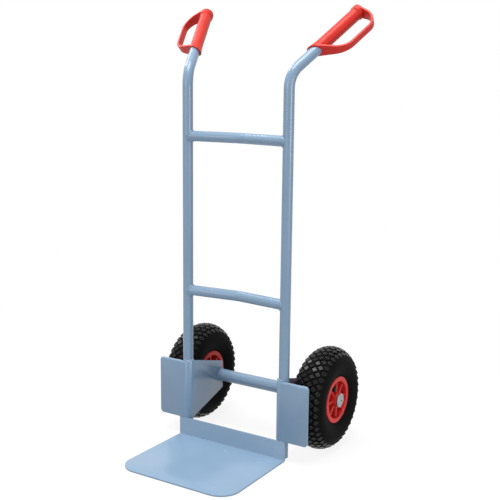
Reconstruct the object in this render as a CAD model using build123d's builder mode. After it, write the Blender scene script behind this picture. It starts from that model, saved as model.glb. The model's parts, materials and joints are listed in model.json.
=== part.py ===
from build123d import *
from math import asin, cos, radians, sin, tan
import os

os.makedirs("parts", exist_ok=True)

# A hand truck: two bent tubes with guarded grips, two cross tubes, a bent toe plate,
# a bracket and an air-filled wheel on each side, and one axle through both wheels.
# X is to the right seen from the front, Y is to the back, Z is up, the floor is Z = 0.
# The origin lies on the floor, under the middle of the truck's outline.

# Frame tubes
tube_dia = 26.0
tube_wall = 2.0
upright_spacing = 286.0  # between the axes of the two uprights
foot_height = 4.0  # the tubes end this far above the floor
bend_height = 928.0  # where the axes of an upright and its handle meet
bend_radius = 60.0
handle_tilt = 54.2  # from the vertical, in degrees
handle_splay = 22.0  # outwards from the straight back direction, in degrees
handle_length = 252.0  # from the bend point to the end of the tube
upper_cross_height = 776.0
lower_cross_height = 387.0
cross_set_back = 16.0  # the cross tubes bend back this far in the middle
cross_bend_radius = 150.0

# Bent sheet pieces
sheet = 4.0
weld_gap = 0.3  # root gap between pieces that are welded together
toe_heel_width = 316.0
toe_front_width = 320.0
toe_depth = 252.5  # from the front of the riser to the front edge
toe_bend_radius = 5.0  # inside the bend
toe_corner_radius = 50.0
riser_height = 50.0
guard_top = 203.0  # top of the wheel guard that each bracket forms in front of its wheel
guard_reach = 220.0  # from the truck's middle to the outer edge of the guard
guard_corner_radius = 10.0
web_rear_height = 74.0
web_behind_axle = 7.0
web_corner_radius = 7.0

# Axle
axle_dia = 20.0
guard_clearance = 9.3  # from the wheel guards to the tyres
axle_tube_dia = 32.0
axle_chamfer = 1.0
axle_slip = 0.2  # radial clearance of what slides over the axle
washer_dia = 34.0
washer_thickness = 2.5
end_play = 0.3  # between a hub and its washer
cap_dia = 35.0
cap_sheet = 1.0
cap_ring = 1.5  # thickness of the ring that grips the axle
cap_rise = 5.2  # height of the cap
cap_crown_dia = 24.0  # flat middle of the cap
cap_dimple_dia = 4.0
cap_grip = 0.02  # radial clearance of the cap on the axle
axle_proud = 3.2  # the axle passes the outer washer by this much

# Wheels
wheel_dia = 260.0
wheel_track = 383.0  # between the middle planes of the two wheels
tyre_width = 85.0
tread_depth = 4.0
tread_half_width = 26.0
shoulder_drop = 8.0  # the crown falls by this much to the edge of the tread
sidewall_mid_dia = 184.0  # where the tyre is widest
sidewall_foot_dia = 122.0
sidewall_foot = 33.0  # half width where the sidewall meets the rim
tyre_wall = 6.0
bead_toe = 21.0  # half width between the two beads
row_count = 7  # rows of lugs on each tyre, an odd number
lug_count = 40  # lugs in each row
lug_side = 11.4  # of a square lug, set corner-on
row_pitch = 10.5
lug_root = 2.0  # how far a lug reaches into the tyre's crown
inner_tube_wall = 2.0
tube_seat = 0.3  # between the inner tube and the tyre

# Rims, each moulded in two halves
rim_seat_dia = 101.6
rim_well_dia = 97.0
rim_flange_dia = 117.0
rim_flange_face = 34.0  # half width over the rim's flanges
rim_flange_thickness = 5.0
rim_pocket_dia = 95.0  # opening of the rim at its face
rim_pocket_root_dia = 87.0
rim_web = 4.0
rim_fit = 0.3  # between the tyre's beads and the rim
hub_length = 75.0
hub_dia = 42.0
hub_end_dia = 38.0
rib_count = 8
rib_thickness = 5.0
rib_height = 27.0
rib_overlap = 4.0  # of a rib with the hub and the rim's ring, together
screw_circle_dia = 66.0
screw_count = 4
screw_dia = 5.0
screw_fit = 0.1
screw_head_dia = 10.0
screw_head_height = 4.0
screw_boss_dia = 13.0
screw_boss_height = 8.0
screw_tip_cover = 2.0  # of the boss left in front of a screw's tip
screw_angle = 67.5

# Valve and bearing in each wheel
valve_dia = 9.0
valve_fit = 0.5
valve_circle_dia = 66.0
valve_angle = 112.5
valve_plane = 14.0  # from the wheel's middle plane to the valve's foot
valve_reach = 26.0  # from the wheel's middle plane to the valve's tip
valve_cap_dia = 13.0
valve_cap_length = 8.0
valve_cap_edge = 2.0
bearing_outer_dia = 27.0
bearing_clearance = 0.05
roller_count = 8
roller_length = 58.0
cage_end = 4.0
cage_wall = 1.4
cage_play = 0.25

# Grips
grip_length = 165.0  # from the middle of its slanted mouth to its closed end
grip_end_wall = 4.0  # closes the grip over the end of the tube
grip_dia = 30.5
grip_fit = 0.1
mouth_slant = 31.0  # of the mouth and the guard's lower arm, in degrees from square
mouth_edge = 1.2
collar_dia = 36.0
collar_taper = 30.0  # the grip narrows over this length above its lowest point
end_cap_dia = 35.0
end_cap_length = 14.0
end_cap_taper = 4.0
end_cap_edge = 2.5
guard_turn = 9.0  # of the hand guard about the handle's axis, in degrees
hand_guard_reach = 63.3  # from the handle's axis to the outside of the guard
hand_guard_thickness = 6.2
hand_guard_width = 16.0  # at its outer face
hand_guard_root_width = 33.5  # at the handle's axis
hand_guard_head = 1.0  # from the top of the guard to the grip's end
hand_guard_low_radius = 48.0
hand_guard_top_radius = 40.0
hand_guard_edge = 1.6

# Places worked out from the sizes above
tube_radius = tube_dia / 2
wheel_radius = wheel_dia / 2
riser_back = tube_radius + weld_gap
riser_front = riser_back + sheet
front_reach = riser_front + toe_depth
axle_back = wheel_radius + guard_clearance - riser_back
back_reach = axle_back + wheel_radius
upright_y = (front_reach - back_reach) / 2
upright_x = upright_spacing / 2
axle_y = upright_y + axle_back
axle_z = wheel_radius
wheel_x = wheel_track / 2
hub_half = hub_length / 2
washer_in = wheel_x - hub_half - end_play - washer_thickness
washer_out = wheel_x + hub_half + end_play
cap_start = washer_out + washer_thickness
axle_end = cap_start + axle_proud

bend_point = Vector(upright_x, upright_y, bend_height)
handle_direction = Vector(0, 0, 1).rotate(Axis.X, -handle_tilt).rotate(Axis.Z, -handle_splay)
handle_axis = Axis(bend_point, handle_direction)
grip_end = handle_length + grip_end_wall
grip_start = grip_end - grip_length
mouth_drop = tan(radians(mouth_slant))
sleeve_low = grip_start - collar_dia / 2 * mouth_drop
hand_guard_top = grip_end - hand_guard_head
outboard = Plane(bend_point, x_dir=(1, 0, 0), z_dir=handle_direction).x_dir
handle_plane = Plane(bend_point, x_dir=outboard.rotate(handle_axis, guard_turn), z_dir=handle_direction)
hand_guard_plane = Plane(bend_point, x_dir=handle_plane.x_dir, z_dir=-handle_plane.y_dir)
mouth_plane = Plane(
    bend_point + handle_direction * grip_start,
    x_dir=handle_plane.y_dir,
    z_dir=handle_direction - handle_plane.x_dir * mouth_drop,
)

# Local X of the wheel plane points back, local Y up and local Z outwards along the axle.
wheel_plane = Plane((wheel_x, axle_y, axle_z), x_dir=(0, 1, 0), z_dir=(1, 0, 0))
wheel_section = Plane((wheel_x, axle_y, axle_z), x_dir=(1, 0, 0), z_dir=(0, -1, 0))
axle_section = Plane((0, axle_y, axle_z), x_dir=(1, 0, 0), z_dir=(0, -1, 0))
axle_line = Axis((0, axle_y, axle_z), (1, 0, 0))


def write(piece, name):
    piece.label = name
    export_step(piece, f"parts/{name}.step")


def write_pair(piece, name):
    write(piece, f"right_{name}")
    with BuildPart() as other_side:
        mirror(piece, about=Plane.YZ)
    write(other_side.part, f"left_{name}")


def cross_tube(height):
    with BuildPart() as tube:
        with BuildLine() as path:
            FilletPolyline(
                (-upright_x, upright_y, height),
                (0, upright_y + cross_set_back, height),
                (upright_x, upright_y, height),
                radius=cross_bend_radius,
            )
        with BuildSketch(Plane(path.line @ 0, z_dir=path.line % 0)):
            Circle(tube_radius)
            Circle(tube_radius - tube_wall, mode=Mode.SUBTRACT)
        sweep()
        with BuildSketch(Plane.XY.offset(height - tube_dia)):
            with Locations((-upright_x, upright_y), (upright_x, upright_y)):
                Circle(tube_radius + weld_gap)
        extrude(amount=2 * tube_dia, mode=Mode.SUBTRACT)
    return tube.part


# Upright tube, bent back and outwards into the handle
with BuildPart() as upright:
    with BuildLine() as upright_path:
        FilletPolyline(
            (upright_x, upright_y, foot_height),
            bend_point,
            bend_point + handle_direction * handle_length,
            radius=bend_radius,
        )
    with BuildSketch(Plane((upright_x, upright_y, foot_height))):
        Circle(tube_radius)
        Circle(tube_radius - tube_wall, mode=Mode.SUBTRACT)
    sweep()
write_pair(upright.part, "upright_tube")

write(cross_tube(upper_cross_height), "upper_cross_tube")
write(cross_tube(lower_cross_height), "lower_cross_tube")

# Toe plate: one sheet bent up into the riser at its heel
blade_front = upright_y - front_reach
heel = upright_y - riser_front
with BuildPart() as toe_plate:
    with BuildSketch(Plane.YZ) as toe_section:
        with BuildLine():
            Polyline(
                (blade_front, 0),
                (heel + sheet, 0),
                (heel + sheet, riser_height),
                (heel, riser_height),
                (heel, sheet),
                (blade_front, sheet),
                close=True,
            )
        make_face()
        corner = toe_section.vertices().sort_by_distance((0, heel, sheet))[0]
        fillet(corner, toe_bend_radius)
        corner = toe_section.vertices().sort_by_distance((0, heel + sheet, 0))[0]
        fillet(corner, toe_bend_radius + sheet)
    extrude(amount=toe_front_width / 2, both=True)
    with BuildSketch(Plane.XY) as blade_outline:
        with BuildLine():
            Polyline(
                (-toe_heel_width / 2, heel + sheet),
                (-toe_heel_width / 2, heel),
                (-toe_front_width / 2, blade_front),
                (toe_front_width / 2, blade_front),
                (toe_heel_width / 2, heel),
                (toe_heel_width / 2, heel + sheet),
                close=True,
            )
        make_face()
        fillet(blade_outline.vertices().group_by(Axis.Y)[0], toe_corner_radius)
    extrude(amount=riser_height, mode=Mode.INTERSECT)
write(toe_plate.part, "toe_plate")

# Bracket: one sheet bent round the upright, with the wheel guard in front of the wheel
# and the web that runs back to the axle tube
bracket_bottom = riser_height + weld_gap
web_rear = axle_y + web_behind_axle
with BuildPart() as bracket:
    with BuildSketch(Plane.XY.offset(bracket_bottom)):
        with BuildLine():
            Line((guard_reach, heel), (upright_x, heel))
            RadiusArc((upright_x, heel), (upright_x - riser_front, upright_y), riser_front)
            Line((upright_x - riser_front, upright_y), (upright_x - riser_front, web_rear))
            Line((upright_x - riser_front, web_rear), (upright_x - riser_back, web_rear))
            Line((upright_x - riser_back, web_rear), (upright_x - riser_back, upright_y))
            RadiusArc((upright_x - riser_back, upright_y), (upright_x, heel + sheet), -riser_back)
            Line((upright_x, heel + sheet), (guard_reach, heel + sheet))
            Line((guard_reach, heel + sheet), (guard_reach, heel))
        make_face()
    extrude(amount=guard_top - bracket_bottom)
    fillet(bracket.edges().filter_by(Axis.Y).group_by(Axis.X)[-1], guard_corner_radius)
    with BuildSketch(Plane.YZ) as side_outline:
        with BuildLine():
            Polyline(
                (heel, bracket_bottom),
                (upright_y, bracket_bottom),
                (web_rear, axle_z - web_rear_height / 2),
                (web_rear, axle_z + web_rear_height / 2),
                (upright_y, guard_top),
                (heel, guard_top),
                close=True,
            )
        make_face()
        fillet(side_outline.vertices().group_by(Axis.Y)[-1], web_corner_radius)
        with Locations((axle_y, axle_z)):
            Circle(axle_tube_dia / 2 + weld_gap, mode=Mode.SUBTRACT)
        with Locations((axle_y + web_behind_axle, axle_z)):
            Rectangle(2 * web_behind_axle, axle_tube_dia + 2 * weld_gap, mode=Mode.SUBTRACT)
    extrude(amount=guard_reach, mode=Mode.INTERSECT)
write_pair(bracket.part, "axle_bracket")

# Axle tube, welded into the notches of both brackets, and the axle through it
with BuildPart() as axle_tube:
    with BuildSketch(Plane((-washer_in, axle_y, axle_z), x_dir=(0, 1, 0), z_dir=(1, 0, 0))):
        Circle(axle_tube_dia / 2)
        Circle(axle_dia / 2 + axle_slip, mode=Mode.SUBTRACT)
    extrude(amount=2 * washer_in)
write(axle_tube.part, "axle_tube")

with BuildPart() as axle:
    with BuildSketch(Plane((-axle_end, axle_y, axle_z), x_dir=(0, 1, 0), z_dir=(1, 0, 0))):
        Circle(axle_dia / 2)
    extrude(amount=2 * axle_end)
    chamfer(axle.edges().filter_by(GeomType.CIRCLE), axle_chamfer)
write(axle.part, "axle")


def washer(start):
    with BuildPart() as ring:
        with BuildSketch(Plane((start, axle_y, axle_z), x_dir=(0, 1, 0), z_dir=(1, 0, 0))):
            Circle(washer_dia / 2)
            Circle(axle_dia / 2 + axle_slip, mode=Mode.SUBTRACT)
        extrude(amount=washer_thickness)
    return ring.part


write_pair(washer(washer_in), "inner_washer")
write_pair(washer(washer_out), "outer_washer")

# Pressed cap, sprung on the axle's end by its ring
cap_seat = axle_dia / 2 + cap_grip
cap_back = cap_start + cap_ring
cap_face = cap_start + cap_rise
with BuildPart() as axle_cap:
    with BuildSketch(axle_section):
        with BuildLine():
            Polyline(
                (cap_start, cap_seat),
                (cap_start, cap_dia / 2),
                (cap_back, cap_dia / 2),
                (cap_face, cap_crown_dia / 2),
                (cap_face, cap_dimple_dia / 2),
                (cap_face - cap_sheet, cap_dimple_dia / 2),
                (cap_face - cap_sheet, cap_crown_dia / 2 - cap_sheet),
                (cap_back, cap_dia / 2 - 2 * cap_sheet),
                (cap_back, cap_seat),
                close=True,
            )
        make_face()
    revolve(axis=axle_line)
write_pair(axle_cap.part, "axle_cap")

# Grip with its hand guard, moulded in one piece and pushed over the handle. The guard is a band
# that leaves the handle at the slant of the mouth, narrows, and comes back at the closed end.
def guard_outline(inset):
    """Draw the side of the guard's loop, moved in by an amount all round."""
    low = grip_start + inset / cos(radians(mouth_slant))
    top = hand_guard_top - inset
    reach = hand_guard_reach - inset
    with BuildSketch(hand_guard_plane) as outline:
        with BuildLine():
            loop = FilletPolyline(
                (0, low),
                (reach, low + reach * mouth_drop),
                (reach, top),
                (0, top),
                radius=(hand_guard_low_radius - inset, hand_guard_top_radius - inset),
            )
            Line(loop @ 1, loop @ 0)
        make_face()
    return outline.sketch


def rounded(middle):
    """Tell the guard's long edges, by their middles, from the ones that the handle swallows."""
    return middle.X > grip_dia / 4 and abs(middle.Y) > hand_guard_width / 3


with BuildPart() as hand_guard:
    extrude(guard_outline(0), amount=hand_guard_root_width / 2, both=True)
    extrude(guard_outline(hand_guard_thickness), amount=collar_dia / 2, both=True, mode=Mode.SUBTRACT)
    with BuildSketch(handle_plane.offset(grip_start)):
        Circle(hand_guard_root_width / 2)
        with Locations((hand_guard_reach, 0)):
            Circle(hand_guard_width / 2)
        make_hull()
    extrude(amount=grip_length, mode=Mode.INTERSECT)
    guard_edges = [edge for edge in hand_guard.edges() if rounded(handle_plane.to_local_coords(edge.center()))]
    fillet(guard_edges, hand_guard_edge)

with BuildPart() as grip:
    with BuildSketch(hand_guard_plane):
        with BuildLine():
            Polyline(
                (0, sleeve_low),
                (collar_dia / 2, sleeve_low),
                (grip_dia / 2, sleeve_low + collar_taper),
                (grip_dia / 2, grip_end - end_cap_length - end_cap_taper),
                (end_cap_dia / 2, grip_end - end_cap_length),
                (end_cap_dia / 2, grip_end),
                (0, grip_end),
                close=True,
            )
        make_face()
    revolve(axis=handle_axis)
    fillet(grip.edges().sort_by(handle_axis)[-1], end_cap_edge)
    split(bisect_by=mouth_plane, keep=Keep.TOP)
    fillet(grip.faces().sort_by(handle_axis)[0].edges(), mouth_edge)
    add(hand_guard.part)
    with BuildSketch(handle_plane.offset(sleeve_low)):
        Circle(tube_radius + grip_fit)
    extrude(amount=handle_length - sleeve_low, mode=Mode.SUBTRACT)
write_pair(grip.part, "grip")

# Tyre: an open carcass whose crown carries rows of lugs, staggered from row to row
crown_curve = (tread_half_width**2 + shoulder_drop**2) / (2 * shoulder_drop)

# The highest points of the tyre are the inner corners of the lugs in the rows next to the middle one.
# They lie on the wheel's diameter where the wheel stands on the floor.
row_lean = asin(row_pitch / crown_curve)
lug_corner = lug_side / 2**0.5
corner_height = (crown_curve + tread_depth) * cos(row_lean) + lug_corner * sin(row_lean)
crown_middle = wheel_radius / cos(radians(180 / lug_count)) - corner_height  # of the crown's curve
crown_radius = crown_middle + crown_curve
shoulder_radius = crown_radius - shoulder_drop
bead_radius = rim_seat_dia / 2 + rim_fit
bead_heel = rim_flange_face - rim_flange_thickness - rim_fit
lip_radius = rim_flange_dia / 2 + rim_fit


def crown_at(distance):
    """Radius of the crown at a distance from the tyre's middle plane."""
    return crown_middle + (crown_curve**2 - distance**2) ** 0.5


def cavity_section(inset=0):
    """Section of the space inside the tyre, drawn in by an inset."""
    with BuildSketch(wheel_section) as section:
        with BuildLine():
            half = Polyline(
                (0, bead_radius),
                (bead_toe, bead_radius),
                (bead_toe, lip_radius),
                (sidewall_foot - tyre_wall, sidewall_foot_dia / 2 + tyre_wall / 2),
                (tyre_width / 2 - tyre_wall, sidewall_mid_dia / 2),
                (tread_half_width - tyre_wall / 2, shoulder_radius - tyre_wall),
                (tread_half_width / 3, crown_radius - tyre_wall),
                (0, crown_radius - tyre_wall),
            )
            mirror(half, about=Plane.YZ)
        make_face()
        if inset:
            offset(amount=-inset, kind=Kind.INTERSECTION, mode=Mode.REPLACE)
    return section.sketch


def lug_row(distance, first_angle):
    """Lugs round the wheel at a distance from the tyre's middle plane, each square to the crown."""
    height = crown_at(distance)
    seat = Plane(
        (wheel_x + distance, axle_y, axle_z + height),
        x_dir=(0, 1, 0),
        z_dir=(distance, 0, height - crown_middle),
    )
    with BuildPart() as lug:
        with BuildSketch(seat.offset(-lug_root)):
            Rectangle(lug_side, lug_side, rotation=45)
        extrude(amount=lug_root + tread_depth)
    return [lug.part.rotate(axle_line, first_angle + 360 * place / lug_count) for place in range(lug_count)]


with BuildPart() as tyre:
    with BuildSketch(wheel_section):
        with BuildLine():
            foot = Polyline(
                (0, bead_radius),
                (bead_heel, bead_radius),
                (bead_heel, lip_radius),
                (sidewall_foot, sidewall_foot_dia / 2),
            )
            shoulder = (tread_half_width, shoulder_radius)
            flank = ThreePointArc(foot @ 1, (tyre_width / 2, sidewall_mid_dia / 2), shoulder)
            ThreePointArc(shoulder, (0, crown_radius), (-tread_half_width, shoulder_radius))
            mirror([foot, flank], about=Plane.YZ)
        make_face()
    revolve(axis=axle_line)
    revolve(cavity_section(), axis=axle_line, mode=Mode.SUBTRACT)
    for row_index in range(-(row_count // 2), row_count // 2 + 1):
        stagger = (row_index % 2) * 180 / lug_count
        add(lug_row(row_index * row_pitch, stagger))
write_pair(tyre.part, "tyre")

# Inner tube: fills the tyre's cavity and stays hollow
with BuildPart() as inner_tube:
    revolve(cavity_section(tube_seat), axis=axle_line)
    revolve(cavity_section(tube_seat + inner_tube_wall), axis=axle_line, mode=Mode.SUBTRACT)
write_pair(inner_tube.part, "inner_tube")


# Rim: two moulded halves, screwed together at the wheel's middle plane. Local Z is outwards.
screw_radius = screw_circle_dia / 2
half_outline = (
    (0, bearing_outer_dia / 2),
    (hub_half, bearing_outer_dia / 2),
    (hub_half, hub_end_dia / 2),
    (rim_web, hub_dia / 2),
    (rim_web, rim_pocket_root_dia / 2),
    (rim_flange_face, rim_pocket_dia / 2),
    (rim_flange_face, rim_flange_dia / 2),
    (rim_flange_face - rim_flange_thickness, rim_flange_dia / 2),
    (rim_flange_face - rim_flange_thickness, rim_seat_dia / 2),
    (bead_toe, rim_seat_dia / 2),
    (bead_toe - rim_flange_thickness, rim_well_dia / 2),
    (0, rim_well_dia / 2),
)


def rim_half(side, hole_depth):
    """One half of the rim, on the outer side (1) or the inner side (-1) of the wheel."""
    face = Plane(wheel_plane.origin, x_dir=(0, 1, 0), z_dir=(side, 0, 0))
    with BuildPart() as half:
        with BuildSketch(wheel_section):
            with BuildLine():
                Polyline(*[(side * distance, radius) for distance, radius in half_outline], close=True)
            make_face()
        revolve(axis=axle_line)
        with BuildSketch(face.offset(rim_web)):
            with PolarLocations((hub_dia + rim_pocket_root_dia) / 4, rib_count):
                Rectangle((rim_pocket_root_dia - hub_dia) / 2 + rib_overlap, rib_thickness)
        extrude(amount=rib_height)
        with BuildSketch(face.offset(rim_web)):
            with PolarLocations(screw_radius, screw_count, start_angle=side * screw_angle):
                Circle(screw_boss_dia / 2)
        extrude(amount=screw_boss_height)
        with BuildSketch(face):
            with PolarLocations(screw_radius, screw_count, start_angle=side * screw_angle):
                Circle(screw_dia / 2 + screw_fit)
        extrude(amount=hole_depth, mode=Mode.SUBTRACT)
    return half.part


boss_face = rim_web + screw_boss_height
screw_tip = boss_face - screw_tip_cover
write_pair(rim_half(-1, boss_face), "rim_inner_half")

valve_radius = valve_circle_dia / 2
valve_foot = rim_seat_dia / 2 - valve_radius
valve_direction = Vector(0, 1, 0).rotate(Axis.X, valve_angle)
valve_corner = wheel_plane.origin + Vector(valve_plane, 0, 0) + valve_direction * valve_radius
valve_well = Plane(valve_corner, z_dir=valve_direction)
with BuildPart() as rim_outer_half:
    add(rim_half(1, screw_tip + screw_fit))
    with BuildSketch(valve_well):
        Circle(valve_dia / 2 + valve_fit)
    extrude(amount=valve_foot, mode=Mode.SUBTRACT)
write_pair(rim_outer_half.part, "rim_outer_half")

# Screws that join the rim's halves, put in from the inner side
with BuildPart() as rim_screws:
    with BuildSketch(wheel_plane.offset(-boss_face)):
        with PolarLocations(screw_radius, screw_count, start_angle=screw_angle):
            Circle(screw_dia / 2)
    extrude(amount=boss_face + screw_tip)
    with BuildSketch(wheel_plane.offset(-boss_face - screw_head_height)):
        with PolarLocations(screw_radius, screw_count, start_angle=screw_angle):
            RegularPolygon(screw_head_dia / 2, 6)
    extrude(amount=screw_head_height)
write_pair(rim_screws.part, "rim_screws")

# Valve: rises out of the rim's well towards the hub and turns outwards
with BuildPart() as valve:
    with BuildLine() as valve_path:
        FilletPolyline(
            valve_corner + valve_direction * valve_foot,
            valve_corner,
            valve_corner + Vector(valve_reach - valve_plane, 0, 0),
            radius=valve_dia,
        )
    with BuildSketch(Plane(valve_path.line @ 0, z_dir=valve_path.line % 0)):
        Circle(valve_dia / 2)
    sweep()
write_pair(valve.part, "valve")

with BuildPart() as valve_cap:
    with BuildSketch(wheel_plane.offset(valve_reach)):
        with PolarLocations(valve_radius, 1, start_angle=valve_angle):
            Circle(valve_cap_dia / 2)
    extrude(amount=valve_cap_length)
    fillet(valve_cap.faces().sort_by(Axis.X)[-1].edges(), valve_cap_edge)
write_pair(valve_cap.part, "valve_cap")

# Bearing: a cage of rollers that runs on the axle, inside the hub
roller_dia = (bearing_outer_dia - axle_dia) / 2 - 2 * bearing_clearance
roller_circle = (bearing_outer_dia + axle_dia) / 4
cage_length = hub_length - 2 * cage_play
with BuildPart() as bearing_cage:
    with BuildSketch(wheel_plane.offset(-cage_length / 2)):
        Circle(roller_circle + cage_wall / 2)
        Circle(roller_circle - cage_wall / 2, mode=Mode.SUBTRACT)
    extrude(amount=cage_length)
    with BuildSketch(wheel_plane.offset(-cage_length / 2), wheel_plane.offset(cage_length / 2 - cage_end)):
        Circle(bearing_outer_dia / 2 - cage_play)
        Circle(axle_dia / 2 + cage_play, mode=Mode.SUBTRACT)
    extrude(amount=cage_end)
    with BuildSketch(wheel_plane.offset(-roller_length / 2 - cage_play)):
        with PolarLocations(roller_circle, roller_count):
            Rectangle(roller_dia, roller_dia + 2 * cage_play)
    extrude(amount=roller_length + 2 * cage_play, mode=Mode.SUBTRACT)
write_pair(bearing_cage.part, "bearing_cage")

with BuildPart() as bearing_rollers:
    with BuildSketch(wheel_plane.offset(-roller_length / 2)):
        with PolarLocations(roller_circle, roller_count):
            Circle(roller_dia / 2)
    extrude(amount=roller_length)
write_pair(bearing_rollers.part, "bearing_rollers")
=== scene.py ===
import json
from math import asin, cos, pi, radians, sin, sqrt

import bmesh
import bpy
from mathutils import Matrix, Vector


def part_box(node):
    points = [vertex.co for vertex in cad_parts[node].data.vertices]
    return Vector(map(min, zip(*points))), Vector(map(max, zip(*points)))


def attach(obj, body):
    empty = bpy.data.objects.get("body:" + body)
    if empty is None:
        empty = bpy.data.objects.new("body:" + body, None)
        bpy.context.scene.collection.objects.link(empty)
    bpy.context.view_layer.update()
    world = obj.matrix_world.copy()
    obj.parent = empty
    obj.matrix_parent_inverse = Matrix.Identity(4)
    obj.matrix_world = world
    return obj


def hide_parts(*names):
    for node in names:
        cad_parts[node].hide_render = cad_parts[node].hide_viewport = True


# A hand truck on a white floor, seen from its right front. Lengths are in metres.

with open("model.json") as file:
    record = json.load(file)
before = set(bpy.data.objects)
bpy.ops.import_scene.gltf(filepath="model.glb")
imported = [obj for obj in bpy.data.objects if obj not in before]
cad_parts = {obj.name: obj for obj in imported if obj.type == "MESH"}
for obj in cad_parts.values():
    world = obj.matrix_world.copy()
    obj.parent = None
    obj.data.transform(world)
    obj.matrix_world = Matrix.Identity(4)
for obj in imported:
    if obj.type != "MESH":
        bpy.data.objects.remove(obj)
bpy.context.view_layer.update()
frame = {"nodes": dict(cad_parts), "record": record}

MM = 0.001
SIDES = {"left": -1, "right": 1}

UP = Vector((0, 0, 1))
FORWARD = Vector((0, -1, 0))

# Sizes of the object that the frame's boxes do not give
CROSS_SET_BACK = 16 * MM  # of a cross tube's middle behind its ends
SHEET = 4 * MM

# Softened edges of the sheets and rims
EDGE_OF_STEEL = 0.6 * MM
EDGE_OF_RIM = 0.6 * MM
EDGE_SEGMENTS = 2
SHARP_ANGLE = radians(40)  # edges that turn more than this are rounded
MERGE_DISTANCE = 0.001 * MM
FLAT_ANGLE = radians(0.05)  # triangles that turn less than this become one flat face

# Shading is smooth across an edge that turns less than this
PIECE_CREASE = radians(35)
SOFTENED_CREASE = radians(30)
WELD_CREASE = radians(60)

# Tyre: an oval section, and rows of lugs across its crown
WIDEST_RADIUS = 92 * MM
FOOT_DEPTH = 49 * MM  # from the widest point to the oval's lowest point, inside the rim
FOOT_ANGLE = 130  # degrees from the crown to the rim
TREAD_DEPTH = 4.2 * MM  # at the crown
SHOULDER_DEPTH = 2.6 * MM  # of the outermost lugs
CROWN_ROUND = 1.15  # above 1, the crown falls away to its shoulders faster than an oval
LUG_ROOT = 2 * MM  # of a lug inside the crown
LUG_COUNT = 40
LUG_SIDE = 11.9 * MM  # at its foot, square and set corner-on
LUG_TAPER = 0.9
LUG_EDGE = 0.9 * MM
LUG_PROUD = 0.25 * MM  # the corners of a lug stand this much higher than its middle
ROW_PITCH = 10.5 * MM
ROWS_PER_SIDE = 3
SIDEWALL_RING_ANGLES = (97.5, 117.5)  # moulded rings on the sidewall, degrees from the crown
SIDEWALL_RING = 0.6 * MM
SECTION_STEP = 2.5  # degrees between points of the section
TYRE_STEPS = 120

# Cap on the axle's end
CAP_SHEET = 1 * MM
CAP_RIM = 1.5 * MM  # height of the straight rim
CAP_HOLE = 2.5 * MM  # radius
CAP_ROUND = 2.4  # above 2, the dome is flatter in its middle than a parabola
DOME_STEPS = 10
CAP_STEPS = 64

# Weld beads
BEAD_RADIUS = 2.2 * MM
RIPPLE_PITCH = 3 * MM
RIPPLE_LOW = 0.9  # share of the bead's radius between two ripples
RIPPLE_SWELL = 0.2  # share of it that a ripple adds
BEAD_SMOOTHNESS = 3
BEAD_STEPS = 72
WRAP_START = radians(-20)  # on a bracket's top edge, from its inner side round the front
WRAP_SWEEP = radians(130)
NOTCH_START = radians(-120)  # on the axle tube, from below round the front to above
NOTCH_SWEEP = radians(240)
WELD_GAP = 0.3 * MM  # root gap that the solids leave under a bead

# Camera, fitted to the photograph
CAMERA_PLACE = Vector((1242.12, -1886.25, 946.76)) * MM
CAMERA_AZIMUTH = radians(32.38)
CAMERA_ELEVATION = radians(11.02)
CAMERA_ROLL = radians(0.6)
CAMERA_LENS = 68.16  # millimetres, as the sensor's width is
CAMERA_SENSOR = 36.0

# Floor
FLOOR_REACH = 12  # from the middle to each side
FLOOR_DROP = 0.5 * MM  # below the tyres


def middle(node):
    low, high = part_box(node)
    return (Vector(low) + Vector(high)) / 2


def extent(node):
    low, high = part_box(node)
    return Vector(high) - Vector(low)


# Places worked out from the frame
tube_radius = extent("upper_cross_tube").z / 2
upright_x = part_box("right_upright_tube")[0][0] + tube_radius
upright_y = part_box("right_upright_tube")[0][1] + tube_radius
wheel_middle = middle("right_tyre")
wheel_radius = extent("right_tyre").z / 2


def linear(code):
    """An sRGB hex colour as linear RGBA."""
    parts = [int(code[place:place + 2], 16) / 255 for place in (1, 3, 5)]
    return tuple(p / 12.92 if p <= 0.04045 else ((p + 0.055) / 1.055) ** 2.4 for p in parts) + (1.0,)


def per_metre(size_mm):
    """Texture scale that gives a pattern features of a size in millimetres."""
    return 1000 / size_mm


# Sockets of a Mix node that is set to colours
MIX_FACTOR, MIX_A, MIX_B, MIX_RESULT = 0, 6, 7, 2

# Radians that a Wave node at a scale of 1 turns through in a metre
WAVE_TURN = 20


def add(tree, kind, inputs=None, **settings):
    """Adds a node with its settings, and sets or links its inputs."""
    node = tree.nodes.new(kind)
    for name, value in settings.items():
        setattr(node, name, value)
    for socket, value in (inputs or {}).items():
        if isinstance(value, bpy.types.NodeSocket):
            tree.links.new(value, node.inputs[socket])
        else:
            node.inputs[socket].default_value = value
    return node


def blank(name):
    """A material with an empty node tree."""
    material = bpy.data.materials.new(name)
    material.use_nodes = True
    material.node_tree.nodes.clear()
    return material, material.node_tree


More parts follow.
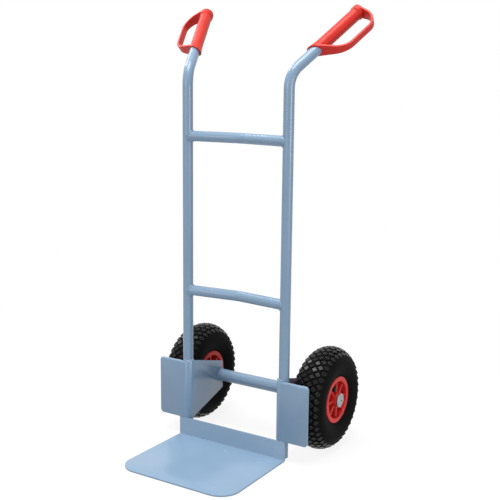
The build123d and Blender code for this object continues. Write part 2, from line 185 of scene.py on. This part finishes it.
def powder_coat():
    """Grey-blue polyester powder coat on steel: a thick glossy skin with a faint orange peel."""
    material, tree = blank("powder_coat_grey_blue")
    place = add(tree, "ShaderNodeTexCoord").outputs["Object"]
    # The baked colour drifts slightly over a hand's breadth.
    drift = add(tree, "ShaderNodeTexNoise", {"Vector": place, "Scale": per_metre(90), "Detail": 3.0})
    colour = add(tree, "ShaderNodeMix", {
        MIX_FACTOR: drift.outputs["Fac"], MIX_A: linear("#7690a9"), MIX_B: linear("#7f99b2"),
    }, data_type="RGBA")
    # Orange peel has waves of 2 to 3 mm, and here a few thousandths of a millimetre of depth.
    peel = add(tree, "ShaderNodeTexNoise", {"Vector": place, "Scale": per_metre(2.6), "Detail": 2.0})
    bump = add(tree, "ShaderNodeBump", {
        "Height": peel.outputs["Fac"], "Strength": 0.15, "Distance": 0.03 * MM})
    gloss = add(tree, "ShaderNodeMapRange", {"Value": drift.outputs["Fac"], "To Min": 0.22, "To Max": 0.3})
    skin = add(tree, "ShaderNodeBsdfPrincipled", {
        "Base Color": colour.outputs[MIX_RESULT], "Roughness": gloss.outputs["Result"], "IOR": 1.5,
        "Normal": bump.outputs["Normal"]})
    add(tree, "ShaderNodeOutputMaterial", {"Surface": skin.outputs["BSDF"]})
    return material


def grip_vinyl():
    """Red soft vinyl, moulded in a fine-blasted tool: satin, with a fine leathery grain."""
    material, tree = blank("moulded_vinyl_red")
    place = add(tree, "ShaderNodeTexCoord").outputs["Object"]
    # The pigment drifts slightly over a few centimetres.
    drift = add(tree, "ShaderNodeTexNoise", {"Vector": place, "Scale": per_metre(30), "Detail": 2.0})
    colour = add(tree, "ShaderNodeMix", {
        MIX_FACTOR: drift.outputs["Fac"], MIX_A: linear("#c22a21"), MIX_B: linear("#cd3328"),
    }, data_type="RGBA")
    # The tool's blasted grain is about 0.4 mm. It is drawn at 1 mm so that it shows.
    grain = add(tree, "ShaderNodeTexNoise", {"Vector": place, "Scale": per_metre(1.0), "Detail": 2.0})
    bump = add(tree, "ShaderNodeBump", {
        "Height": grain.outputs["Fac"], "Strength": 0.15, "Distance": 0.02 * MM})
    gloss = add(tree, "ShaderNodeMapRange", {"Value": grain.outputs["Fac"], "To Min": 0.34, "To Max": 0.46})
    skin = add(tree, "ShaderNodeBsdfPrincipled", {
        "Base Color": colour.outputs[MIX_RESULT], "Roughness": gloss.outputs["Result"], "IOR": 1.52,
        "Specular IOR Level": 0.22, "Normal": bump.outputs["Normal"]})
    add(tree, "ShaderNodeOutputMaterial", {"Surface": skin.outputs["BSDF"]})
    return material


def rim_polypropylene():
    """Red polypropylene, injection moulded: semi-gloss, with faint cloudy flow marks."""
    material, tree = blank("moulded_polypropylene_red")
    place = add(tree, "ShaderNodeTexCoord").outputs["Object"]
    flow = add(tree, "ShaderNodeTexNoise", {
        "Vector": place, "Scale": per_metre(14), "Detail": 3.0, "Distortion": 0.6})
    colour = add(tree, "ShaderNodeMix", {
        MIX_FACTOR: flow.outputs["Fac"], MIX_A: linear("#cd2f2c"), MIX_B: linear("#d93733"),
    }, data_type="RGBA")
    # Sink and flow leave shallow waves of a few millimetres.
    sink = add(tree, "ShaderNodeTexNoise", {"Vector": place, "Scale": per_metre(5), "Detail": 1.0})
    bump = add(tree, "ShaderNodeBump", {
        "Height": sink.outputs["Fac"], "Strength": 0.4, "Distance": 0.1 * MM})
    gloss = add(tree, "ShaderNodeMapRange", {"Value": flow.outputs["Fac"], "To Min": 0.3, "To Max": 0.42})
    skin = add(tree, "ShaderNodeBsdfPrincipled", {
        "Base Color": colour.outputs[MIX_RESULT], "Roughness": gloss.outputs["Result"], "IOR": 1.49,
        "Specular IOR Level": 0.18, "Normal": bump.outputs["Normal"]})
    add(tree, "ShaderNodeOutputMaterial", {"Surface": skin.outputs["BSDF"]})
    return material


def tyre_rubber(name, roughness_low, roughness_high, specular):
    """Black moulded rubber, dull or shiny as asked, with a dry bloom in patches and a fine mould grain."""
    material, tree = blank(name)
    place = add(tree, "ShaderNodeTexCoord").outputs["Object"]
    bloom = add(tree, "ShaderNodeTexNoise", {
        "Vector": place, "Scale": per_metre(22), "Detail": 5.0, "Roughness": 0.6})
    colour = add(tree, "ShaderNodeMix", {
        MIX_FACTOR: bloom.outputs["Fac"], MIX_A: linear("#090909"), MIX_B: linear("#0f0f0f"),
    }, data_type="RGBA")
    # The mould's grain is about 0.5 mm. It is drawn at 1.2 mm so that it shows.
    grain = add(tree, "ShaderNodeTexNoise", {"Vector": place, "Scale": per_metre(1.2), "Detail": 3.0})
    bump = add(tree, "ShaderNodeBump", {
        "Height": grain.outputs["Fac"], "Strength": 0.5, "Distance": 0.12 * MM})
    gloss = add(tree, "ShaderNodeMapRange", {
        "Value": bloom.outputs["Fac"], "To Min": roughness_low, "To Max": roughness_high})
    skin = add(tree, "ShaderNodeBsdfPrincipled", {
        "Base Color": colour.outputs[MIX_RESULT], "Roughness": gloss.outputs["Result"], "IOR": 1.52,
        "Specular IOR Level": specular, "Normal": bump.outputs["Normal"]})
    add(tree, "ShaderNodeOutputMaterial", {"Surface": skin.outputs["BSDF"]})
    return material


def turned_metal(name, dark, light, roughness):
    """Bare or plated steel, pale or black: a metal sheen, with rings from turning round the axle."""
    material, tree = blank(name)
    place = add(tree, "ShaderNodeTexCoord").outputs["Object"]
    # Both wheels turn about one line, so rings round it suit the left and the right side.
    centred = add(tree, "ShaderNodeMapping", {
        "Vector": place, "Location": (0, -wheel_middle.y, -wheel_middle.z)})
    # Tool marks are about 0.1 mm apart. They are drawn 5 mm apart so that they show.
    rings = add(tree, "ShaderNodeTexWave", {
        "Vector": centred.outputs["Vector"], "Scale": per_metre(5.0265) * 2 * pi / WAVE_TURN,
        "Distortion": 1.5, "Detail": 2.0,
    }, wave_type="RINGS", rings_direction="X")
    stain = add(tree, "ShaderNodeTexNoise", {"Vector": place, "Scale": per_metre(6), "Detail": 4.0})
    colour = add(tree, "ShaderNodeMix", {
        MIX_FACTOR: stain.outputs["Fac"], MIX_A: linear(dark), MIX_B: linear(light),
    }, data_type="RGBA")
    gloss = add(tree, "ShaderNodeMapRange", {
        "Value": rings.outputs["Fac"], "To Min": roughness - 0.06, "To Max": roughness + 0.06})
    bump = add(tree, "ShaderNodeBump", {
        "Height": rings.outputs["Fac"], "Strength": 0.2, "Distance": 0.02 * MM})
    skin = add(tree, "ShaderNodeBsdfPrincipled", {
        "Base Color": colour.outputs[MIX_RESULT], "Metallic": 1.0, "Roughness": gloss.outputs["Result"],
        "Normal": bump.outputs["Normal"]})
    add(tree, "ShaderNodeOutputMaterial", {"Surface": skin.outputs["BSDF"]})
    return material


def moulded_plain(name, dark, light, roughness, specular):
    """A small moulded piece in one colour, such as a nylon cage or a valve cap, with slight mottling."""
    material, tree = blank(name)
    place = add(tree, "ShaderNodeTexCoord").outputs["Object"]
    mottle = add(tree, "ShaderNodeTexNoise", {"Vector": place, "Scale": per_metre(4), "Detail": 3.0})
    colour = add(tree, "ShaderNodeMix", {
        MIX_FACTOR: mottle.outputs["Fac"], MIX_A: linear(dark), MIX_B: linear(light),
    }, data_type="RGBA")
    bump = add(tree, "ShaderNodeBump", {
        "Height": mottle.outputs["Fac"], "Strength": 0.3, "Distance": 0.05 * MM})
    gloss = add(tree, "ShaderNodeMapRange", {
        "Value": mottle.outputs["Fac"], "To Min": roughness - 0.05, "To Max": roughness + 0.05})
    skin = add(tree, "ShaderNodeBsdfPrincipled", {
        "Base Color": colour.outputs[MIX_RESULT], "Roughness": gloss.outputs["Result"], "IOR": 1.5,
        "Specular IOR Level": specular, "Normal": bump.outputs["Normal"]})
    add(tree, "ShaderNodeOutputMaterial", {"Surface": skin.outputs["BSDF"]})
    return material


paint = powder_coat()
vinyl = grip_vinyl()
rim_plastic = rim_polypropylene()
sidewall_rubber = tyre_rubber("tyre_rubber_sidewall", roughness_low=0.6, roughness_high=0.75, specular=0.04)
tread_rubber = tyre_rubber("tyre_rubber_tread", roughness_low=0.18, roughness_high=0.26, specular=0.18)
tube_rubber = tyre_rubber("butyl_rubber", roughness_low=0.5, roughness_high=0.65, specular=0.3)
zinc = turned_metal("zinc_plated_steel", "#8f9092", "#a8a9aa", roughness=0.36)
steel = turned_metal("drawn_steel", "#9b9b99", "#b5b5b3", roughness=0.3)
axle_steel = turned_metal("black_bar_steel", "#1c1c1d", "#29292a", roughness=0.5)
nylon = moulded_plain("nylon_natural", "#cdc7b4", "#dcd7c6", roughness=0.5, specular=0.4)
valve_plastic = moulded_plain("moulded_plastic_black", "#0b0b0b", "#131313", roughness=0.5, specular=0.15)
SLOT_FINISH = {
    "frame_paint": paint,
    "grip_plastic": vinyl,
    "rim_plastic": rim_plastic,
    "tyre_rubber": sidewall_rubber,
    "tube_rubber": tube_rubber,
    "valve_plastic": valve_plastic,
    "cage_plastic": nylon,
    "cap_steel": zinc,
    "bright_steel": steel,
}
for part in frame["record"]["subparts"]:
    node = frame["nodes"][part["node"]]
    node.data.materials.clear()
    # The axle is plain black bar, and the other pieces of its slot are bright.
    node.data.materials.append(axle_steel if part["node"] == "axle" else SLOT_FINISH[part["material_slot"]])


def finish_piece(name, shape, body, material, nodes=(), crease=PIECE_CREASE):
    """Makes an object of a bmesh, with soft shading up to an angle, on a body and in place of CAD nodes."""
    mesh = bpy.data.meshes.new(name)
    shape.to_mesh(mesh)
    shape.free()
    mesh.materials.append(material)
    mesh.shade_smooth()
    mesh.set_sharp_from_angle(angle=crease)
    piece = bpy.data.objects.new(name, mesh)
    bpy.context.scene.collection.objects.link(piece)
    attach(piece, body)
    if nodes:
        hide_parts(*nodes)


def mirrored(shape, side):
    """The shape as it is on the right, or its mirror image on the left."""
    if side == "left":
        bmesh.ops.scale(shape, vec=(-1, 1, 1), verts=shape.verts)
    bmesh.ops.recalc_face_normals(shape, faces=shape.faces)
    return shape


def merged_copy(node):
    """The CAD node's mesh with its loose triangles joined and its flat faces made whole."""
    shape = bmesh.new()
    shape.from_mesh(frame["nodes"][node].data)
    bmesh.ops.remove_doubles(shape, verts=shape.verts, dist=MERGE_DISTANCE)
    bmesh.ops.dissolve_limit(shape, angle_limit=FLAT_ANGLE, verts=shape.verts, edges=shape.edges)
    return shape


def softened(node, radius, material, body="frame"):
    """A CAD piece whose sharp edges are rounded, as trimming, moulding and paint leave them."""
    shape = merged_copy(node)
    sharp = [edge for edge in shape.edges if edge.is_manifold and edge.calc_face_angle() > SHARP_ANGLE]
    bmesh.ops.bevel(shape, geom=sharp, offset=radius, offset_type="OFFSET", segments=EDGE_SEGMENTS,
                    profile=0.5, affect="EDGES", material=-1, clamp_overlap=True)
    finish_piece(f"{node}_softened", shape, body, material, (node,), crease=SOFTENED_CREASE)


# Sheet pieces and rims keep the solids' shape, with softened edges. Tubes and grips stay as they are.
softened("toe_plate", EDGE_OF_STEEL, paint)
for side in SIDES:
    softened(f"{side}_axle_bracket", EDGE_OF_STEEL, paint)
    for half in ("inner", "outer"):
        softened(f"{side}_rim_{half}_half", EDGE_OF_RIM, rim_plastic, f"{side}_wheel")


# Tyres
tyre_half_width = extent("right_tyre").x / 2
crown_height = wheel_radius - TREAD_DEPTH - LUG_PROUD - WIDEST_RADIUS


def section_point(angle):
    """Distances from the wheel's middle plane and from its axle, at an angle from the crown."""
    rise = crown_height * cos(angle) ** CROWN_ROUND if cos(angle) > 0 else FOOT_DEPTH * cos(angle)
    return tyre_half_width * sin(angle), WIDEST_RADIUS + rise


def carcass(side):
    """The tyre without its lugs: an oval section, closed inside the rim and spun round the axle."""
    shape = bmesh.new()
    corners = []
    steps = round(FOOT_ANGLE / SECTION_STEP)
    for step in range(-steps, steps + 1):
        degrees = step * SECTION_STEP
        across, out = section_point(radians(degrees))
        if abs(degrees) in SIDEWALL_RING_ANGLES:
            across += SIDEWALL_RING * (1 if degrees > 0 else -1)
        corners.append(shape.verts.new((across, 0, out)))
    edges = [shape.edges.new(pair) for pair in zip(corners, corners[1:] + corners[:1])]
    bmesh.ops.spin(shape, geom=corners + edges, cent=(0, 0, 0), axis=(1, 0, 0), dvec=(0, 0, 0),
                   angle=2 * pi, steps=TYRE_STEPS, use_merge=True, use_duplicate=False)
    bmesh.ops.translate(shape, vec=wheel_middle, verts=shape.verts)
    return mirrored(shape, side)


def tread(side):
    """Staggered rows of tapered square lugs that stand corner-on and upright on the crown."""
    shape = bmesh.new()
    for row in range(-ROWS_PER_SIDE, ROWS_PER_SIDE + 1):
        angle = asin(row * ROW_PITCH / tyre_half_width)
        across, out = section_point(angle)
        outward = Vector((sin(angle) / tyre_half_width, 0, cos(angle) / crown_height)).normalized()
        round_wheel = Vector((0, 1, 0))
        over_crown = round_wheel.cross(outward)
        seat = Vector((across, 0, out)) - outward * LUG_ROOT
        depth = TREAD_DEPTH + (SHOULDER_DEPTH - TREAD_DEPTH) * (abs(row) / ROWS_PER_SIDE) ** 2
        stand = Matrix.Translation(seat) @ Matrix((over_crown, round_wheel, outward)).transposed().to_4x4()
        corner_on = Matrix.Rotation(pi / 4, 4, "Z")
        for place in range(LUG_COUNT):
            lug = bmesh.ops.create_cube(shape, size=1)["verts"]
            top = [vert for vert in lug if vert.co.z > 0]
            bmesh.ops.translate(shape, vec=(0, 0, 0.5), verts=lug)
            bmesh.ops.scale(shape, vec=(LUG_TAPER, LUG_TAPER, 1), verts=top)
            bmesh.ops.scale(shape, vec=(LUG_SIDE, LUG_SIDE, depth + LUG_ROOT), verts=lug)
            turn = Matrix.Rotation(2 * pi * (place + 0.5 * (row % 2)) / LUG_COUNT, 4, "X")
            bmesh.ops.transform(shape, matrix=turn @ stand @ corner_on, verts=lug)
    bmesh.ops.bevel(shape, geom=shape.edges[:], offset=LUG_EDGE, offset_type="OFFSET", segments=1,
                    profile=0.5, affect="EDGES", material=-1, clamp_overlap=True)
    bmesh.ops.translate(shape, vec=wheel_middle, verts=shape.verts)
    return mirrored(shape, side)


def domed_cap(side):
    """A pressed cap: a low dome with a small hole in its middle and a straight rim round the axle's end."""
    low, high = (Vector(corner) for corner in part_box("right_axle_cap"))
    radius = (high.z - low.z) / 2
    rise = high.x - low.x
    dome = []
    for step in range(DOME_STEPS + 1):
        out = radius + (CAP_HOLE - radius) * step / DOME_STEPS
        dome.append((rise - (rise - CAP_RIM) * (out / radius) ** CAP_ROUND, out))
    inside = [(along - CAP_SHEET, min(out, radius - CAP_SHEET)) for along, out in reversed(dome)]
    shape = bmesh.new()
    section = [(0, radius)] + dome + inside + [(0, radius - CAP_SHEET)]
    corners = [shape.verts.new((along, 0, out)) for along, out in section]
    edges = [shape.edges.new(pair) for pair in zip(corners, corners[1:] + corners[:1])]
    bmesh.ops.spin(shape, geom=corners + edges, cent=(0, 0, 0), axis=(1, 0, 0), dvec=(0, 0, 0),
                   angle=2 * pi, steps=CAP_STEPS, use_merge=True, use_duplicate=False)
    bmesh.ops.translate(shape, vec=(low.x, wheel_middle.y, wheel_middle.z), verts=shape.verts)
    return mirrored(shape, side)


for side in SIDES:
    wheel = f"{side}_wheel"
    tyre = (f"{side}_tyre",)
    cap = (f"{side}_axle_cap",)
    finish_piece(f"{side}_tyre_carcass", carcass(side), wheel, sidewall_rubber, tyre)
    finish_piece(f"{side}_tyre_tread", tread(side), wheel, tread_rubber, tyre)
    finish_piece(f"{side}_axle_cap_domed", domed_cap(side), "frame", zinc, cap)


def weld(name, points, closed):
    """A painted weld bead along a line of points, with the ripples that each drop of weld leaves."""
    line = bpy.data.curves.new(name, "CURVE")
    line.dimensions = "3D"
    line.bevel_depth = BEAD_RADIUS
    line.bevel_resolution = BEAD_SMOOTHNESS
    spline = line.splines.new("POLY")
    spline.points.add(len(points) - 1)
    spline.use_cyclic_u = closed
    run = 0
    for place, (knot, point) in enumerate(zip(spline.points, points)):
        run += (point - points[place - 1]).length if place else 0
        knot.co = (*point, 1)
        knot.radius = RIPPLE_LOW + RIPPLE_SWELL * abs(sin(pi * run / RIPPLE_PITCH))
    line.use_fill_caps = True
    bead = bpy.data.objects.new(f"{name}_line", line)
    shape = bmesh.new()
    shape.from_mesh(bpy.data.meshes.new_from_object(bead))
    bpy.data.objects.remove(bead)
    bmesh.ops.recalc_face_normals(shape, faces=shape.faces)
    finish_piece(name, shape, "frame", paint, crease=WELD_CREASE)


def ring(centre, along, across, radius, start, sweep, steps):
    """Points on an arc in the plane of two directions."""
    turns = [start + sweep * step / steps for step in range(steps + 1)]
    return [centre + (along * cos(turn) + across * sin(turn)) * radius for turn in turns]


for side, sign in SIDES.items():
    upright = Vector((sign * upright_x, upright_y, 0))
    for level in ("upper", "lower"):
        # Where a cross tube meets its upright, the bead follows the saddle between two equal tubes.
        tube = f"{level}_cross_tube"
        height = middle(tube).z
        inwards = Vector((-sign * upright_x, CROSS_SET_BACK, 0)).normalized()
        sideways = UP.cross(inwards)
        saddle = []
        for step in range(BEAD_STEPS):
            turn = 2 * pi * step / BEAD_STEPS
            reach = sqrt((tube_radius + WELD_GAP) ** 2 - (tube_radius * cos(turn)) ** 2)
            round_tube = (sideways * cos(turn) + UP * sin(turn)) * tube_radius
            saddle.append(upright + UP * height + inwards * reach + round_tube)
        weld(f"{side}_{level}_cross_weld", saddle, True)
    # The bracket's top edge is welded to the upright where the sheet wraps it.
    bracket_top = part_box(f"{side}_axle_bracket")[1][2]
    wrap = ring(upright + UP * bracket_top, Vector((-sign, 0, 0)), FORWARD, tube_radius + WELD_GAP,
                WRAP_START, WRAP_SWEEP, BEAD_STEPS // 2)
    weld(f"{side}_bracket_weld", wrap, False)
    # The web is welded to the axle tube all round its notch.
    web_face = sign * (upright_x - tube_radius - WELD_GAP - SHEET)
    notch = Vector((web_face, wheel_middle.y, wheel_middle.z))
    axle_ring = ring(notch, FORWARD, UP, extent("axle_tube").z / 2, NOTCH_START, NOTCH_SWEEP, BEAD_STEPS)
    weld(f"{side}_axle_weld", axle_ring, False)


# Camera
scene = bpy.context.scene
camera = bpy.data.objects.new("camera", bpy.data.cameras.new("camera"))
scene.collection.objects.link(camera)
camera.data.lens = CAMERA_LENS
camera.data.sensor_width = CAMERA_SENSOR
level_right = Vector((cos(CAMERA_AZIMUTH), sin(CAMERA_AZIMUTH), 0))
level_back = Vector((sin(CAMERA_AZIMUTH), -cos(CAMERA_AZIMUTH), 0))
backwards = level_back * cos(CAMERA_ELEVATION) + UP * sin(CAMERA_ELEVATION)
level_up = backwards.cross(level_right)
camera_right = level_right * cos(CAMERA_ROLL) + level_up * sin(CAMERA_ROLL)
camera_up = backwards.cross(camera_right)
camera_turn = Matrix((camera_right, camera_up, backwards)).transposed().to_4x4()
camera.matrix_world = Matrix.Translation(CAMERA_PLACE) @ camera_turn
scene.camera = camera
scene.view_settings.view_transform = "Standard"


def studio_light(name, place, aim, size, power):
    """A soft box that faces a point, with its power in watts."""
    lamp = bpy.data.lights.new(name, "AREA")
    lamp.shape = "RECTANGLE"
    lamp.size, lamp.size_y = size
    lamp.energy = power
    box = bpy.data.objects.new(name, lamp)
    scene.collection.objects.link(box)
    box.location = place
    box.rotation_euler = (Vector(place) - Vector(aim)).to_track_quat("Z", "Y").to_euler()


studio_light("overhead_softbox", place=(0.0, -1.4, 8.0), aim=(0, 0, 0.3), size=(4.8, 4.8), power=730)
studio_light("left_softbox", place=(-5.0, 0.7, 5.3), aim=(0, 0, 0.3), size=(2.4, 2.4), power=160)
studio_light("front_softbox", place=(-0.8, -4.5, 1.6), aim=(0, 0, 0.4), size=(2.2, 2.2), power=56)
studio_light("right_softbox", place=(4.2, -0.6, 0.7), aim=(0, 0, 0.5), size=(1.6, 1.2), power=55)


def seen_or_reflected(tree):
    """A value of 1 where the camera looks, straight or by gloss or glass, and 0 for light passed on."""
    path = add(tree, "ShaderNodeLightPath").outputs
    straight_or_gloss = add(tree, "ShaderNodeMath", {
        0: path["Is Camera Ray"], 1: path["Is Glossy Ray"]}, operation="MAXIMUM")
    either_or_glass = add(tree, "ShaderNodeMath", {
        0: straight_or_gloss.outputs["Value"], 1: path["Is Transmission Ray"]}, operation="MAXIMUM")
    return either_or_glass.outputs["Value"]


def white_world():
    """Even pale light, and plain white where the camera, gloss or glass looks past the object."""
    world = bpy.data.worlds.new("white_studio")
    world.use_nodes = True
    tree = world.node_tree
    tree.nodes.clear()
    seen = seen_or_reflected(tree)
    strength = add(tree, "ShaderNodeMapRange", {"Value": seen, "To Min": 0.25, "To Max": 1.0})
    sky = add(tree, "ShaderNodeBackground", {"Color": (1, 1, 1, 1), "Strength": strength.outputs["Result"]})
    add(tree, "ShaderNodeOutputWorld", {"Surface": sky.outputs["Background"]})
    scene.world = world


def white_floor():
    """A pale floor that reads as white to the camera and keeps a faint shadow."""
    material, tree = blank("studio_floor_white")
    seen = seen_or_reflected(tree)
    # The sweep burns out to plain white from 0.5 to 1.6 m away from the truck's middle.
    place = add(tree, "ShaderNodeTexCoord").outputs["Object"]
    away = add(tree, "ShaderNodeVectorMath", {0: place}, operation="LENGTH")
    burn = add(tree, "ShaderNodeMapRange", {
        "Value": away.outputs["Value"], "From Min": 0.5, "From Max": 1.6, "To Min": 0.88, "To Max": 1.0})
    share = add(tree, "ShaderNodeMath", {0: seen, 1: burn.outputs["Result"]}, operation="MULTIPLY")
    shade = add(tree, "ShaderNodeMapRange", {"Value": seen, "To Min": 0.4, "To Max": 0.9})
    matt = add(tree, "ShaderNodeBsdfDiffuse", {"Color": shade.outputs["Result"]})
    glow = add(tree, "ShaderNodeEmission", {"Color": (1, 1, 1, 1), "Strength": 1.0})
    mix = add(tree, "ShaderNodeMixShader", {
        "Fac": share.outputs["Value"], 1: matt.outputs["BSDF"], 2: glow.outputs["Emission"]})
    add(tree, "ShaderNodeOutputMaterial", {"Surface": mix.outputs["Shader"]})
    sheet = bmesh.new()
    bmesh.ops.create_grid(sheet, x_segments=1, y_segments=1, size=FLOOR_REACH)
    bmesh.ops.translate(sheet, vec=UP * -FLOOR_DROP, verts=sheet.verts)
    mesh = bpy.data.meshes.new("floor")
    sheet.to_mesh(mesh)
    sheet.free()
    mesh.materials.append(material)
    floor = bpy.data.objects.new("floor", mesh)
    scene.collection.objects.link(floor)


white_world()
white_floor()
